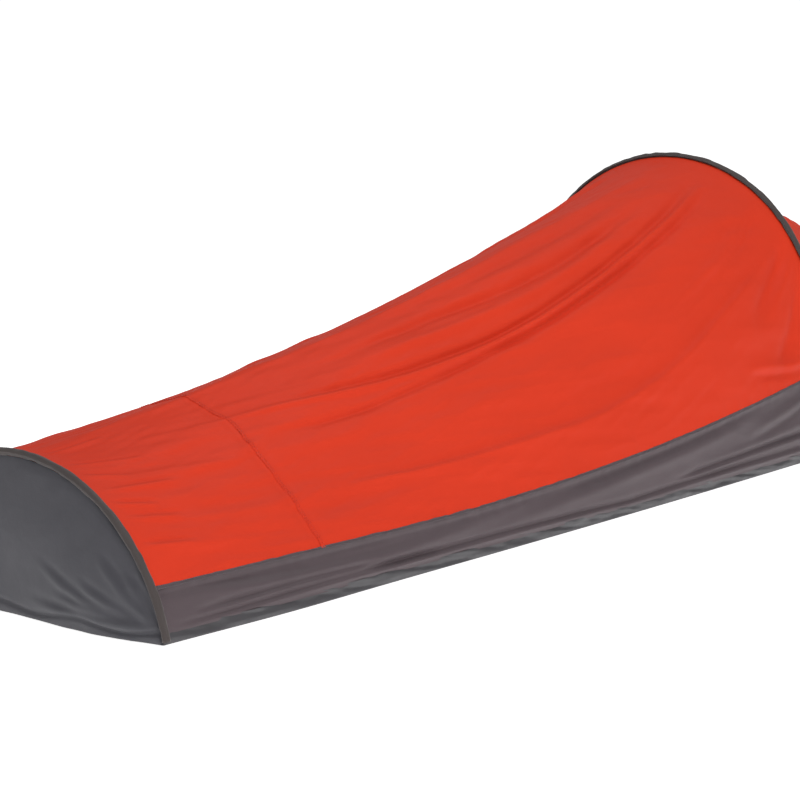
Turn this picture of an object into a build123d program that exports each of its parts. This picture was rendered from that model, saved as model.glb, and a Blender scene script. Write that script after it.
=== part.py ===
from build123d import *
from math import asin, atan2, cos, degrees, pi, radians, sin, sqrt
import os

# Bivy sack: a low shelter for one sleeper, held up by a small hoop at the foot and a
# large hoop at the head. X runs from the foot to the head, Z is up, and the origin is
# on the ground at the middle of the whole length. All sizes are in millimetres.

# Overall sizes
hoop_spacing = 1650.0          # foot hoop to head hoop
head_reach = 500.0             # head hoop to the head end wall
foot_bulge = 14.0              # how far the foot end panel swells past the foot hoop
foot_dome_share = 0.6          # size of the swelling's flat middle against the hoop

# Hoops, measured on the pole's centreline
foot_hoop_half_width = 259.0   # at the ground
foot_hoop_height = 213.0
foot_hoop_centre_height = -51.0
head_hoop_half_width = 359.0
head_hoop_height = 509.0
head_hoop_centre_height = 0.0
crown_radius_share = 0.83      # crown radius over half width, tightens the hoop's top
head_end_half_width = 250.0

# Fabric
fabric = 2.0
ridge_sag = 10.0               # the ridge hangs this much below a straight line
ridge_sag_to_foot = 15.0       # and this much more, weighted towards the foot
shoulder_draw_in = 0.5         # how far tension pulls the shoulders in to a straight line
shoulder_draw_in_to_foot = 0.2
side_bow = 10.0                # the floor's long edges bow out this much
floor_turn_up = 16.0           # the floor sheet turns up this far all round
wall_height_foot = 67.0
wall_height_head_hoop = 155.0
wall_height_head_end = 130.0
wall_level_run = 450.0         # the wall's top seam is level this far from the foot
cross_seam_reach = 300.0       # foot hoop to the seam across the canopy
seam_tape_width = 20.0
seam_tape = 0.8

# Poles and sleeves
pole_radius = 3.95
pole_wall = 0.85
spigot_gap = 0.15
ferrule_wall = 0.75
ferrule_reach = 25.0           # each ferrule goes this far into each pole section
head_leg_joint = 250.0         # height of the joint in each leg of the head hoop
shock_cord_radius = 1.4
shock_cord_ease = 0.2
tip_head = 8.0
tip_spigot = 22.0
sleeve_ease = 0.25             # pole to the sleeve around it
sleeve_wall = 1.0
sleeve_corner_share = 0.92     # corner radius over half the sleeve thickness
head_sleeve_width = 24.0
foot_sleeve_width = 12.0
head_hoop_base = 8.0           # the hoop's lower ends stand this far off the ground
foot_hoop_base = 6.0
sleeve_clearance = 1.2         # sleeve to the fabric under it

# Door and zip, on the sloping front of the hood
hood_crown_run = 25.0          # level stretch from the head hoop to the slope
door_radius = 200.0            # circle of the zip's middle line
door_centre_up = 205.0         # from the wall's top edge, up the slope
door_hinge_up = 40.0           # the door's straight lower edge, up the slope
zip_start_angle = -50.0
zip_end_angle = 230.0
zip_half_gap = 0.4
zip_tape_width = 13.6
zip_tape = 0.8
zip_coil_width = 2.0
zip_coil_height = 1.8
zip_stop_length = 3.0
slider_angle = -44.0
slider_length = 12.0
slider_plate = 1.2
slider_width = 11.0
slider_gap = 0.3
pull_bar_radius = 1.0
pull_eye_radius = 2.6
pull_eye_gap = 0.4
pull_bar_rise = 3.2
pull_width = 5.0
pull_length = 26.0
pull_thickness = 1.4
post_width = 1.2

# Peg loops at the head end
peg_loop_spread = 215.0        # centre line of the bivy to each loop
peg_loop_width = 22.0
peg_loop_length = 45.0
peg_loop_thickness = 1.5
peg_loop_lift = 1.0
peg_hole_from_end = 14.0
eyelet_bore_radius = 5.0
eyelet_wall = 1.3
eyelet_flange_radius = 8.6
eyelet_flange = 0.8

# Sizes that fit one piece to another
spigot_radius = pole_radius - pole_wall - spigot_gap
tip_bore_radius = shock_cord_radius + shock_cord_ease
sleeve_bore_radius = pole_radius + sleeve_ease
sleeve_half_thickness = sleeve_bore_radius + sleeve_wall

# Places along X
total_length = foot_bulge + hoop_spacing + head_reach + peg_loop_length
foot_x = -total_length / 2 + foot_bulge
head_x = foot_x + hoop_spacing
end_x = head_x + head_reach
skin_inset = sleeve_half_thickness + sleeve_clearance
beyond = 700.0                 # larger than any half width or height


def across(x):
    """The plane across the bivy at x, with its first axis along +Y and its second up."""
    return Plane(origin=(x, 0, 0), x_dir=(0, 1, 0), z_dir=(1, 0, 0))


class Arch:
    """An arch of three tangent arcs: a leg on each side and a crown between them."""

    def __init__(self, half_width, height, centre_height):
        self.centre_height = centre_height
        rise = height - centre_height
        self.crown_radius = min(half_width, rise) * crown_radius_share
        shortfall = half_width - self.crown_radius
        spread = half_width**2 - self.crown_radius**2 + (rise - self.crown_radius) ** 2
        self.leg_radius = spread / (2 * shortfall)
        self.leg_centre = half_width - self.leg_radius
        self.crown_centre = height - self.crown_radius
        self.height = height
        join_up = self.crown_centre - centre_height
        self.join_angle = atan2(join_up, -self.leg_centre)

    def leg_angle(self, level):
        """Angle round the leg's centre at a level on the leg."""
        return asin((level - self.centre_height) / self.leg_radius)

    def leg_point(self, angle):
        """A point on the right leg."""
        out = self.leg_centre + self.leg_radius * cos(angle)
        return (out, self.centre_height + self.leg_radius * sin(angle))

    def crown_point(self, angle):
        """A point on the right half of the crown."""
        return (self.crown_radius * cos(angle), self.crown_centre + self.crown_radius * sin(angle))

    def draw(self, base):
        """Draw the three arcs in the open BuildLine, from the right foot to the left."""
        foot_angle = self.leg_angle(base)
        foot = self.leg_point(foot_angle)
        middle = self.leg_point((foot_angle + self.join_angle) / 2)
        join = self.leg_point(self.join_angle)
        ThreePointArc(foot, middle, join)
        ThreePointArc(join, (0, self.height), (-join[0], join[1]))
        ThreePointArc((-join[0], join[1]), (-middle[0], middle[1]), (-foot[0], foot[1]))

    def draw_skin(self, base, seam_level, draw_in):
        """Draw the fabric's section in the open BuildLine, from the right foot to the left.

        Above the seam the fabric is pulled in by the share draw_in, from the arch
        towards a straight line between the seam and the crown.
        """
        foot_angle = self.leg_angle(base)
        seam_angle = self.leg_angle(seam_level)
        crown_angle = (self.join_angle + pi / 2) / 2
        leg_run = self.leg_radius * (self.join_angle - seam_angle)
        crown_run = self.crown_radius * (pi / 2 - self.join_angle)
        whole_run = leg_run + crown_run
        seam = self.leg_point(seam_angle)
        top = (0.0, self.height)
        pulled = []
        for point, run in (
            (self.leg_point((seam_angle + self.join_angle) / 2), leg_run / 2),
            (self.leg_point(self.join_angle), leg_run),
            (self.crown_point(crown_angle), leg_run + crown_run / 2),
        ):
            up_share = run / whole_run
            straight = [low + (high - low) * up_share for low, high in zip(seam, top)]
            pulled.append(tuple(old + (new - old) * draw_in for old, new in zip(point, straight)))
        right_side = [
            self.leg_point(foot_angle),
            self.leg_point((foot_angle + seam_angle) / 2),
            seam,
            pulled[0],
            pulled[1],
            pulled[2],
            top,
        ]
        left_side = [(-point[0], point[1]) for point in reversed(right_side[:-1])]
        points = right_side + left_side
        for start in range(0, len(points) - 2, 2):
            ThreePointArc(points[start], points[start + 1], points[start + 2])
        Line(points[-1], points[0])


def swell(share):
    """A smooth hump along the bivy: 0 at both hoops and 1 halfway between them."""
    return 4 * share * (1 - share)


def arch_at(share, inset):
    """The skin's arch at a share of the way from the foot hoop to the head hoop."""
    to_foot = 1 - 2 * share
    foot_half = sqrt(foot_hoop_half_width**2 + foot_hoop_centre_height**2)
    half_width = foot_half + (head_hoop_half_width - foot_half) * share + side_bow * swell(share)
    sag = (ridge_sag + ridge_sag_to_foot * to_foot) * swell(share)
    height = foot_hoop_height + (head_hoop_height - foot_hoop_height) * share - sag
    centre = foot_hoop_centre_height + (head_hoop_centre_height - foot_hoop_centre_height) * share
    return Arch(half_width - inset, height - inset, centre)


def wall_seam():
    """Radius and level end of the seam's rise from the foot's wall height to the head's."""
    level_end = foot_x + wall_level_run
    climb = wall_height_head_hoop - wall_height_foot
    climb_run = head_x - level_end
    return level_end, (climb_run**2 + climb**2) / (2 * climb)


def wall_height_at(x):
    """Height of the seam between wall and canopy at x, between the hoops."""
    level_end, seam_radius = wall_seam()
    if x < level_end:
        return wall_height_foot
    return wall_height_foot + seam_radius - sqrt(seam_radius**2 - (x - level_end) ** 2)


def skin_face(arch, x, seam_level, draw_in, base=0.0):
    """A closed face under the skin, on the plane across the bivy at x."""
    with BuildSketch(across(x)) as face:
        with BuildLine():
            arch.draw_skin(base, seam_level, draw_in)
        make_face()
    return face.sketch


def skin_face_at(share, inset):
    """The face under the skin at a share of the way between the hoops."""
    x = foot_x + share * hoop_spacing
    draw_in = (shoulder_draw_in + shoulder_draw_in_to_foot * (1 - 2 * share)) * swell(share) ** 0.7
    return skin_face(arch_at(share, inset), x, wall_height_at(x), draw_in)


# The hood's front slopes from near the head hoop's crown to the top of the end wall.
front_top_height = head_hoop_height - skin_inset
front_rise = front_top_height - wall_height_head_end
front_run = head_reach - hood_crown_run
front_slope = atan2(front_rise, front_run)
outward = (sin(front_slope), 0, cos(front_slope))


def front_plane(lift=0.0):
    """The hood's front: first axis along +Y, second up the slope, and lifted outward."""
    start = (end_x + lift * outward[0], 0, wall_height_head_end + lift * outward[2])
    return Plane(origin=start, x_dir=(0, 1, 0), z_dir=outward)


def tent_volume(inset, floor_level, foot_open, front_inset):
    """The whole space under the skin, drawn in by inset all round."""
    with BuildPart() as between_hoops:
        for share in (0.0, 0.25, 0.5, 0.75, 1.0):
            add(skin_face_at(share, inset))
        loft()
    end_arch = Arch(head_end_half_width - inset, head_hoop_height - inset, head_hoop_centre_height)
    with BuildPart() as hood:
        add(skin_face_at(1.0, inset))
        add(skin_face(end_arch, end_x, wall_height_head_end, 0.0))
        loft()
        split(bisect_by=front_plane(-front_inset), keep=Keep.BOTTOM)
    with BuildPart() as volume:
        add(between_hoops.part)
        add(hood.part)
        with BuildSketch(Plane.XY.offset(floor_level)):
            with Locations(((foot_x - foot_open + end_x - front_inset) / 2, 0)):
                Rectangle(end_x - front_inset - foot_x + foot_open, 2 * beyond)
        extrude(amount=beyond, mode=Mode.INTERSECT)
    return volume.part


def side_profile(above):
    """A slab across the bivy: above the seam where canopy meets wall if above is 1, below if -1."""
    level_end = wall_seam()[0]
    middle_x = (level_end + head_x) / 2
    far = beyond * above
    with BuildPart() as slab:
        with BuildSketch(Plane.XZ):
            with BuildLine():
                Line((foot_x - foot_bulge, wall_height_foot), (level_end, wall_height_foot))
                ThreePointArc(
                    (level_end, wall_height_foot),
                    (middle_x, wall_height_at(middle_x)),
                    (head_x, wall_height_head_hoop),
                )
                Line((head_x, wall_height_head_hoop), (end_x, wall_height_head_end))
                Polyline(
                    (end_x, wall_height_head_end),
                    (end_x + foot_bulge, wall_height_head_end),
                    (end_x + foot_bulge, far),
                    (foot_x - foot_bulge, far),
                    (foot_x - foot_bulge, wall_height_foot),
                )
            make_face()
        extrude(amount=beyond, both=True)
    return slab.part


def block(x_low, x_high, y_low=-beyond, y_high=beyond, z_low=-beyond, z_high=beyond):
    """A plain block between the given limits, for cutting regions out of the skin."""
    with BuildPart() as region:
        with BuildSketch(Plane.XY.offset(z_low)):
            with Locations(((x_low + x_high) / 2, (y_low + y_high) / 2)):
                Rectangle(x_high - x_low, y_high - y_low)
        extrude(amount=z_high - z_low)
    return region.part


os.makedirs("parts", exist_ok=True)
outer_volume = tent_volume(skin_inset, 0.0, 0.0, 0.0)
inner_volume = tent_volume(skin_inset + fabric, fabric, 1.0, fabric)
taped_volume = tent_volume(skin_inset + fabric + seam_tape, fabric, 1.0, fabric)
above_seam = side_profile(1)
below_seam = side_profile(-1)

with BuildPart() as skin:
    add(outer_volume)
    add(inner_volume, mode=Mode.SUBTRACT)

with BuildPart() as front_sheet:
    add(skin.part)
    split(bisect_by=front_plane(-fabric), keep=Keep.TOP)

with BuildPart() as arched_skin:
    add(skin.part)
    split(bisect_by=front_plane(-fabric), keep=Keep.BOTTOM)

# Floor sheet, turned up all round like a shallow tub
with BuildPart() as floor_sheet:
    add(arched_skin.part)
    add(block(foot_x, end_x, z_high=floor_turn_up), mode=Mode.INTERSECT)
floor_sheet.part.label = "floor_sheet"
export_step(floor_sheet.part, "parts/floor_sheet.step")

# Grey side walls, from the floor's turned-up edge to the canopy seam
for side_name, y_low, y_high in (("side_wall_left", 0.0, beyond), ("side_wall_right", -beyond, 0.0)):
    with BuildPart() as side_wall:
        add(arched_skin.part)
        add(below_seam, mode=Mode.INTERSECT)
        add(block(foot_x, end_x - fabric, y_low, y_high, floor_turn_up), mode=Mode.INTERSECT)
    side_wall.part.label = side_name
    export_step(side_wall.part, "parts/" + side_name + ".step")

# Upright end wall below the door slope
with BuildPart() as head_end_wall:
    add(arched_skin.part)
    add(block(end_x - fabric, end_x, z_low=floor_turn_up), mode=Mode.INTERSECT)
head_end_wall.part.label = "head_end_wall"
export_step(head_end_wall.part, "parts/head_end_wall.step")

# Canopy in two panels, sewn together across the sleeper's feet
seam_x = foot_x + cross_seam_reach
for panel_name, x_low, x_high in (
    ("canopy_foot_panel", foot_x, seam_x),
    ("canopy_main_panel", seam_x, head_x),
    ("hood_panel", head_x, end_x),
):
    with BuildPart() as panel:
        add(arched_skin.part)
        add(above_seam, mode=Mode.INTERSECT)
        add(block(x_low, x_high), mode=Mode.INTERSECT)
    panel.part.label = panel_name
    export_step(panel.part, "parts/" + panel_name + ".step")

# Tape that seals the cross seam from the inside
with BuildPart() as cross_seam_tape:
    add(inner_volume)
    add(taped_volume, mode=Mode.SUBTRACT)
    add(above_seam, mode=Mode.INTERSECT)
    add(block(seam_x - seam_tape_width / 2, seam_x + seam_tape_width / 2), mode=Mode.INTERSECT)
cross_seam_tape.part.label = "cross_seam_tape"
export_step(cross_seam_tape.part, "parts/cross_seam_tape.step")


# Foot end panel, a shallow cushion of fabric stretched over the foot hoop
def foot_dome(shift):
    """The foot end's swelling, whole, moved along X by shift."""
    flat_arch = arch_at(0.0, skin_inset)
    crown = Arch(
        foot_hoop_half_width * foot_dome_share,
        foot_hoop_height * foot_dome_share,
        foot_hoop_centre_height * foot_dome_share,
    )
    with BuildPart() as dome:
        add(skin_face(crown, foot_x - foot_bulge + shift, wall_height_foot * foot_dome_share, 0.0))
        add(skin_face(flat_arch, foot_x + shift, wall_height_foot, 0.0))
        loft()
    return dome.part


with BuildPart() as foot_end_panel:
    add(foot_dome(0.0))
    add(foot_dome(fabric), mode=Mode.SUBTRACT)
foot_end_panel.part.label = "foot_end_panel"
export_step(foot_end_panel.part, "parts/foot_end_panel.step")


# Hood front with the door's opening
def door_outline(radius, hinge_up):
    """A round door with a straight lower edge, as a sketch on the front's own axes."""
    with BuildSketch() as outline:
        with Locations((0, door_centre_up)):
            Circle(radius)
        with Locations((0, hinge_up - beyond / 2)):
            Rectangle(2 * beyond, beyond, mode=Mode.SUBTRACT)
    return outline.sketch


with BuildPart() as front_panel:
    add(front_sheet.part)
    add(above_seam, mode=Mode.INTERSECT)
    with BuildSketch(front_plane(fabric)):
        add(door_outline(door_radius + zip_half_gap, door_hinge_up))
    extrude(amount=-3 * fabric, mode=Mode.SUBTRACT)
front_panel.part.label = "front_panel"
export_step(front_panel.part, "parts/front_panel.step")

with BuildPart() as door_flap:
    with BuildSketch(front_plane()):
        add(door_outline(door_radius - zip_half_gap, door_hinge_up + zip_half_gap))
    extrude(amount=-fabric)
door_flap.part.label = "door_flap"
export_step(door_flap.part, "parts/door_flap.step")


def zip_band(inner_radius, outer_radius, first_angle, last_angle):
    """Part of a ring around the door, between two angles, as a sketch."""
    middle_angle = (first_angle + last_angle) / 2
    corners = []
    for radius in (inner_radius, outer_radius):
        for angle in (first_angle, middle_angle, last_angle):
            across_front = radius * cos(radians(angle))
            up_front = door_centre_up + radius * sin(radians(angle))
            corners.append((across_front, up_front))
    with BuildSketch() as band:
        with BuildLine():
            ThreePointArc(corners[0], corners[1], corners[2])
            Line(corners[2], corners[5])
            ThreePointArc(corners[5], corners[4], corners[3])
            Line(corners[3], corners[0])
        make_face()
    return band.sketch


def zip_piece(name, inner_radius, outer_radius, first_angle, last_angle, low, high):
    """One piece of the zip, lying on the front between two heights above it."""
    with BuildPart() as piece:
        with BuildSketch(front_plane(low)):
            add(zip_band(inner_radius, outer_radius, first_angle, last_angle))
        extrude(amount=high - low)
    piece.part.label = name
    export_step(piece.part, "parts/" + name + ".step")


fixed_edge = door_radius + zip_half_gap
moving_edge = door_radius - zip_half_gap
coil_top = zip_tape + zip_coil_height
zip_layers = (
    ("tape", zip_tape_width, 0.0, zip_tape),
    ("coil", zip_coil_width, zip_tape, coil_top),
)
for name, width, low, high in zip_layers:
    outer = fixed_edge + width
    inner = moving_edge - width
    zip_piece("zip_fixed_" + name, fixed_edge, outer, zip_start_angle, zip_end_angle, low, high)
    zip_piece("zip_door_" + name, inner, moving_edge, zip_start_angle, zip_end_angle, low, high)

# End stops, clamped over the fixed tape just past each end of the coil
stop_angle = degrees(zip_stop_length / door_radius)
with BuildPart() as zip_end_stops:
    for stop_start in (zip_start_angle - stop_angle, zip_end_angle):
        with BuildSketch(front_plane()):
            add(zip_band(fixed_edge, fixed_edge + 2 * zip_coil_width, stop_start, stop_start + stop_angle))
        extrude(amount=coil_top)
zip_end_stops.part.label = "zip_end_stops"
export_step(zip_end_stops.part, "parts/zip_end_stops.step")


# Zip slider. Its own axes: along the zip, outward from the door's centre, up off the front.
def slider_plane(lift):
    """The slider's plane at a height above the front, at its place on the zip's circle."""
    place = front_plane(lift)
    angle = radians(slider_angle)
    middle = fixed_edge + slider_width / 2
    origin = place.from_local_coords((middle * cos(angle), door_centre_up + middle * sin(angle), 0))
    ahead = place.from_local_coords(
        (middle * cos(angle) - sin(angle), door_centre_up + middle * sin(angle) + cos(angle), 0)
    )
    return Plane(origin=origin, x_dir=ahead - origin, z_dir=outward)


plate_low = coil_top + slider_gap
plate_high = plate_low + slider_plate
bar_level = plate_high + pull_bar_rise
coil_clear = zip_coil_width + slider_gap
post_middle = slider_width / 2 - post_width / 2


def pull_plane():
    """The plane across the pull's bar, at its middle: first axis along the zip."""
    flat = slider_plane(bar_level)
    return Plane(origin=flat.origin, x_dir=flat.x_dir, z_dir=flat.y_dir)


with BuildPart() as zip_slider:
    with BuildSketch(slider_plane(plate_low)):
        RectangleRounded(slider_length, slider_width, slider_plate)
    extrude(amount=slider_plate)
    with BuildSketch(slider_plane(zip_tape + slider_gap)):
        with Locations((0, -coil_clear / 2)):
            RectangleRounded(slider_length, slider_width - coil_clear, slider_plate)
    extrude(amount=plate_low - zip_tape - slider_gap)
    with BuildSketch(slider_plane(plate_high)):
        with Locations((0, post_middle), (0, -post_middle)):
            Rectangle(2 * pull_bar_radius, post_width)
    extrude(amount=pull_bar_rise + pull_bar_radius)
    with BuildSketch(pull_plane()):
        Circle(pull_bar_radius)
    extrude(amount=post_middle, both=True)
zip_slider.part.label = "zip_slider"
export_step(zip_slider.part, "parts/zip_slider.step")

# The pull hangs on the slider's bar by an eye and lies back along the zip
with BuildPart() as zip_pull:
    with BuildSketch(pull_plane()):
        Circle(pull_eye_radius)
        with Locations((-pull_length / 2, 0)):
            Rectangle(pull_length, pull_thickness)
        Circle(pull_bar_radius + pull_eye_gap, mode=Mode.SUBTRACT)
    extrude(amount=pull_width / 2, both=True)
zip_pull.part.label = "zip_pull"
export_step(zip_pull.part, "parts/zip_pull.step")

# Peg loops of flat webbing at the head end's corners, each with a brass eyelet
eyelet_x = end_x + peg_loop_length - peg_hole_from_end
eyelet_outer = eyelet_bore_radius + eyelet_wall
with BuildPart() as peg_loops:
    with BuildSketch(Plane.XY.offset(peg_loop_lift)):
        loop_x = end_x + peg_loop_length / 2
        with Locations((loop_x, peg_loop_spread), (loop_x, -peg_loop_spread)):
            Rectangle(peg_loop_length, peg_loop_width)
        with Locations((eyelet_x, peg_loop_spread), (eyelet_x, -peg_loop_spread)):
            Circle(eyelet_outer, mode=Mode.SUBTRACT)
    extrude(amount=peg_loop_thickness)
peg_loops.part.label = "peg_loops"
export_step(peg_loops.part, "parts/peg_loops.step")

with BuildPart() as peg_eyelets:
    for level, height, radius in (
        (peg_loop_lift - eyelet_flange, eyelet_flange, eyelet_flange_radius),
        (peg_loop_lift, peg_loop_thickness, eyelet_outer),
        (peg_loop_lift + peg_loop_thickness, eyelet_flange, eyelet_flange_radius),
    ):
        with BuildSketch(Plane.XY.offset(level)):
            with Locations((eyelet_x, peg_loop_spread), (eyelet_x, -peg_loop_spread)):
                Circle(radius)
                Circle(eyelet_bore_radius, mode=Mode.SUBTRACT)
        extrude(amount=height)
peg_eyelets.part.label = "peg_eyelets"
export_step(peg_eyelets.part, "parts/peg_eyelets.step")


def hoop_sweep(arch, x, base, outline):
    """Sweep a flat outline along a hoop, from its right foot to its left."""
    with BuildPart() as swept:
        with BuildLine(across(x)) as path:
            arch.draw(base)
        with BuildSketch(Plane(origin=path.line @ 0, x_dir=(1, 0, 0), z_dir=path.line % 0)):
            add(outline)
        sweep(path=path.line)
    return swept.part


def ring(outer_radius, inner_radius):
    """A round outline with a round hole."""
    with BuildSketch() as outline:
        Circle(outer_radius)
        Circle(inner_radius, mode=Mode.SUBTRACT)
    return outline.sketch


def cut_to(whole, regions):
    """The parts of a solid that lie in any of the given regions."""
    with BuildPart() as zone:
        for region in regions:
            add(region)
    with BuildPart() as kept:
        add(whole)
        add(zone.part, mode=Mode.INTERSECT)
    return kept.part


def save(name, solid):
    """Label a finished piece and write it out."""
    solid.label = name
    export_step(solid, "parts/" + name + ".step")


def make_hoop(name, arch, x, base, sleeve_width, leg_joint):
    """A sleeved hoop: pole sections, ferrules, end tips and shock cord.

    leg_joint is the height of the joint in each leg, or None for a hoop whose only
    joint is at the crown.
    """
    with BuildSketch() as sleeve_outline:
        RectangleRounded(sleeve_width, 2 * sleeve_half_thickness, sleeve_corner_share * sleeve_half_thickness)
        Circle(sleeve_bore_radius, mode=Mode.SUBTRACT)
    save(name + "_hoop_sleeve", hoop_sweep(arch, x, base, sleeve_outline.sketch))

    x_low = x - sleeve_width
    x_high = x + sleeve_width
    tip_top = base + tip_head
    tube = hoop_sweep(arch, x, base, ring(pole_radius, pole_radius - pole_wall))
    sides = (("left", 0.0, beyond), ("right", -beyond, 0.0))
    crown_joint = block(x_low, x_high, -ferrule_reach, ferrule_reach)
    joints = [crown_joint]
    for side, y_low, y_high in sides:
        if leg_joint is None:
            lengths = (("section", tip_top, beyond),)
        else:
            lengths = (("lower_section", tip_top, leg_joint), ("upper_section", leg_joint, beyond))
            joint_low = leg_joint - ferrule_reach
            joint_high = leg_joint + ferrule_reach
            joints.append(block(x_low, x_high, y_low, y_high, joint_low, joint_high))
        for length_name, z_low, z_high in lengths:
            section = cut_to(tube, [block(x_low, x_high, y_low, y_high, z_low, z_high)])
            save(name + "_pole_" + length_name + "_" + side, section)

    spigot_outline = ring(spigot_radius, spigot_radius - ferrule_wall)
    save(name + "_pole_ferrules", cut_to(hoop_sweep(arch, x, base, spigot_outline), joints))

    heads = cut_to(
        hoop_sweep(arch, x, base, ring(pole_radius, tip_bore_radius)),
        [block(x_low, x_high, z_high=tip_top)],
    )
    spigots = cut_to(
        hoop_sweep(arch, x, base, ring(spigot_radius, tip_bore_radius)),
        [block(x_low, x_high, z_low=tip_top, z_high=tip_top + tip_spigot)],
    )
    with BuildPart() as tips:
        add(heads)
        add(spigots)
    save(name + "_pole_tips", tips.part)

    with BuildSketch() as cord_outline:
        Circle(shock_cord_radius)
    save(name + "_shock_cord", hoop_sweep(arch, x, base, cord_outline.sketch))


foot_arch = arch_at(0.0, 0.0)
head_arch = arch_at(1.0, 0.0)
make_hoop("foot", foot_arch, foot_x, foot_hoop_base, foot_sleeve_width, None)
make_hoop("head", head_arch, head_x, head_hoop_base, head_sleeve_width, head_leg_joint)
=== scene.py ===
import bpy
import math
import numpy as np
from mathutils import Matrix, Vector


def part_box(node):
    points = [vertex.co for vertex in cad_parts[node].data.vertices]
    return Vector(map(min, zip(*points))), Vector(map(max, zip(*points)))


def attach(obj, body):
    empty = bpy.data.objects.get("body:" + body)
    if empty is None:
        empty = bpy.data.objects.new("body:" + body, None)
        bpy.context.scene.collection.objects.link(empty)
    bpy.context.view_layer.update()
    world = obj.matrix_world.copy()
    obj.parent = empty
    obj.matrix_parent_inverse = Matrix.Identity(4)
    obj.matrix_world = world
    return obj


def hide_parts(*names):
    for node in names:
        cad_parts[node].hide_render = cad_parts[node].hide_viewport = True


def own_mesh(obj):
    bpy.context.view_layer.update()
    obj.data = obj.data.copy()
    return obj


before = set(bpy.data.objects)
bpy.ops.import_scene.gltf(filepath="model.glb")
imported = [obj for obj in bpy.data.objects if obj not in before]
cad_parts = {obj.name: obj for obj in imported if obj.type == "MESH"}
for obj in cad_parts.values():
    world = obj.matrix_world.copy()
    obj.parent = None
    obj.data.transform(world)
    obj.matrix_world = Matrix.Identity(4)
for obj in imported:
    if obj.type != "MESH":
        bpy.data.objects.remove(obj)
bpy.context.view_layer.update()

# ---------------------------------------------------------------- places, in metres
FOOT_X = (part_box("foot_shock_cord")[0][0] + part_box("foot_shock_cord")[1][0]) / 2
HEAD_X = (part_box("head_shock_cord")[0][0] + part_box("head_shock_cord")[1][0]) / 2
END_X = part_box("head_end_wall")[1][0]
SPACING = HEAD_X - FOOT_X
REACH = END_X - HEAD_X
SKIN_IN = 0.0064
FOOT_HALF, FOOT_TALL, FOOT_CENTRE = 0.259, 0.213, -0.051
HEAD_HALF, HEAD_TALL = 0.359, 0.509
END_HALF, END_WALL = 0.250, 0.130
CROWN_SHARE = 0.83
CROSS_AT = 0.303
TURN_UP = 0.016
FLAT_TOP = 0.025
TOP_SEAM = 0.155
ROUND = 1.30
LOOP_Y, LOOP_HALF, EYE_R = 0.215, 0.011, 0.0063
# how far each side of the canopy is drawn in from the arch: at mid-length, and more at the foot
NEAR_DRAW, NEAR_DRAW_TO_FOOT = 0.5533, 0.3483
FAR_DRAW, FAR_DRAW_TO_FOOT = 0.3978, 0.0917
SHOULDER_IN = 0.0483
SLOPE = math.atan2(HEAD_TALL - SKIN_IN - END_WALL, REACH - FLAT_TOP)
OUT = np.array([math.sin(SLOPE), 0.0, math.cos(SLOPE)])
UP = np.array([-math.cos(SLOPE), 0.0, math.sin(SLOPE)])
DOOR_UP, DOOR_R, HINGE_UP = 0.205, 0.200, 0.040
ALONG = np.array([1.0, 0.0, 0.0])


# ---------------------------------------------------------------- the skin's shape
def arch_numbers(share, inset):
    swell = 4 * share * (1 - share)
    foot_half = math.hypot(FOOT_HALF, FOOT_CENTRE)
    half = foot_half + (HEAD_HALF - foot_half) * share + 0.010 * swell - inset
    sag = 0.010 * swell + 0.015 * swell * (1 - 2 * share)
    tall = FOOT_TALL + (HEAD_TALL - FOOT_TALL) * share - sag - inset
    return half, tall, FOOT_CENTRE * (1 - share)


def arch(half, tall, centre, around):
    """Points and outward normals on a three-arc arch; around runs 0 (right ground) to 1 (left ground)."""
    rise = tall - centre
    crown = np.minimum(half, rise) * CROWN_SHARE
    leg = (half**2 - crown**2 + (rise - crown) ** 2) / (2 * (half - crown))
    leg_centre = half - leg
    crown_centre = tall - crown
    join = np.arctan2(crown_centre - centre, -leg_centre)
    foot = np.arctan2(-centre, np.sqrt(leg**2 - centre**2))
    leg_run = leg * (join - foot)
    run = leg_run + crown * (np.pi / 2 - join)
    s = np.minimum(around, 1 - around) * 2 * run
    side = np.where(around < 0.5, -1.0, 1.0)
    on_leg = s < leg_run
    angle = np.where(on_leg, foot + s / leg, join + (s - leg_run) / crown)
    y = np.where(on_leg, leg_centre + leg * np.cos(angle), crown * np.cos(angle))
    z = np.where(on_leg, centre + leg * np.sin(angle), crown_centre + crown * np.sin(angle))
    return side * y, z, side * np.cos(angle), np.sin(angle), 2 * run


def leg_at(half, tall, centre, level):
    """Half width of the arch at a level, and its share of the way round."""
    rise = tall - centre
    crown = np.minimum(half, rise) * CROWN_SHARE
    leg = (half**2 - crown**2 + (rise - crown) ** 2) / (2 * (half - crown))
    leg_centre = half - leg
    foot = np.arctan2(-centre, np.sqrt(leg**2 - centre**2))
    y = leg_centre + np.sqrt(leg**2 - (level - centre) ** 2)
    run = arch(half, tall, centre, np.asarray(0.5 + 0 * np.asarray(half)))[4]
    return y, leg * (np.arctan2(level - centre, y - leg_centre) - foot) / run


def seam_level(x):
    """Height of the wall's top seam, x measured from the foot hoop."""
    climb = np.clip((x - 0.45) / 1.2, 0, 1)
    hood = np.clip((x - SPACING) / REACH, 0, 1)
    return 0.067 + (TOP_SEAM - 0.067) * climb**2 - (TOP_SEAM - END_WALL) * hood


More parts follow.
